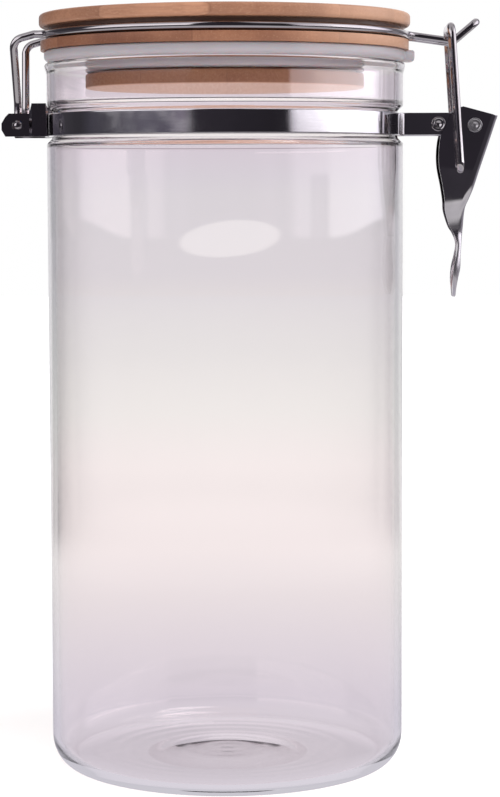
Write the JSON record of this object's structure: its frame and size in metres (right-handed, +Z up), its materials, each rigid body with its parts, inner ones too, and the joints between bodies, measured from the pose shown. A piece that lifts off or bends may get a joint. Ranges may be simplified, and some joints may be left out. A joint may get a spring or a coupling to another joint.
{
  "type": "clip-top glass jar",
  "caption": "Tall round glass storage jar with a hinged bamboo lid, a soft gasket and an over-centre wire bail clasp on a steel neck band.",
  "frame": {"origin": "on the floor, under the centre of the closed object's box; the jar's own axis is 7.6 mm towards the hinge", "axes": "+Z up along the jar, hinge at -X, clasp at +X"},
  "size_m": [0.1446, 0.109, 0.2223],
  "materials": {
    "glass": "clear, smooth",
    "polished_steel": "mirror polished sheet",
    "rivet_steel": "satin",
    "bamboo": "fine sanded, oiled",
    "silicone": "milky translucent",
    "bright_wire": "bright drawn wire"
  },
  "bodies": {
    "jar": {"glass_jar": "glass", "neck_band": "polished_steel", "hinge_bracket": "polished_steel", "tab_rivet": "rivet_steel", "lever_pivot_pin": "rivet_steel", "tab_spacer": "rivet_steel"},
    "lid": {"lid_disc": "bamboo", "lid_plug": "bamboo", "gasket": "silicone", "lid_wire": "bright_wire"},
    "lever": {"clasp_lever": "polished_steel"},
    "bail": {"bail_wire": "bright_wire"}
  },
  "joints": [
    {"name": "lid_hinge", "type": "hinge", "parent": "jar", "child": "lid", "pos_m": [-0.06768, 0, 0.1899], "axis": [0, -1, 0], "range_deg": [0, 195]},
    {"name": "lever_pivot", "type": "hinge", "parent": "jar", "child": "lever", "pos_m": [0.06552, 0, 0.1897], "axis": [0, -1, 0], "range_deg": [0, 110]},
    {"name": "bail_pivot", "type": "hinge", "parent": "lever", "child": "bail", "pos_m": [0.06132, 0, 0.1769], "axis": [0, -1, 0], "range_deg": [-76, 1]}
  ],
  "couplings": [
    {"joint": "bail_pivot", "follows": "lever_pivot", "ratio": -0.68}
  ]
}
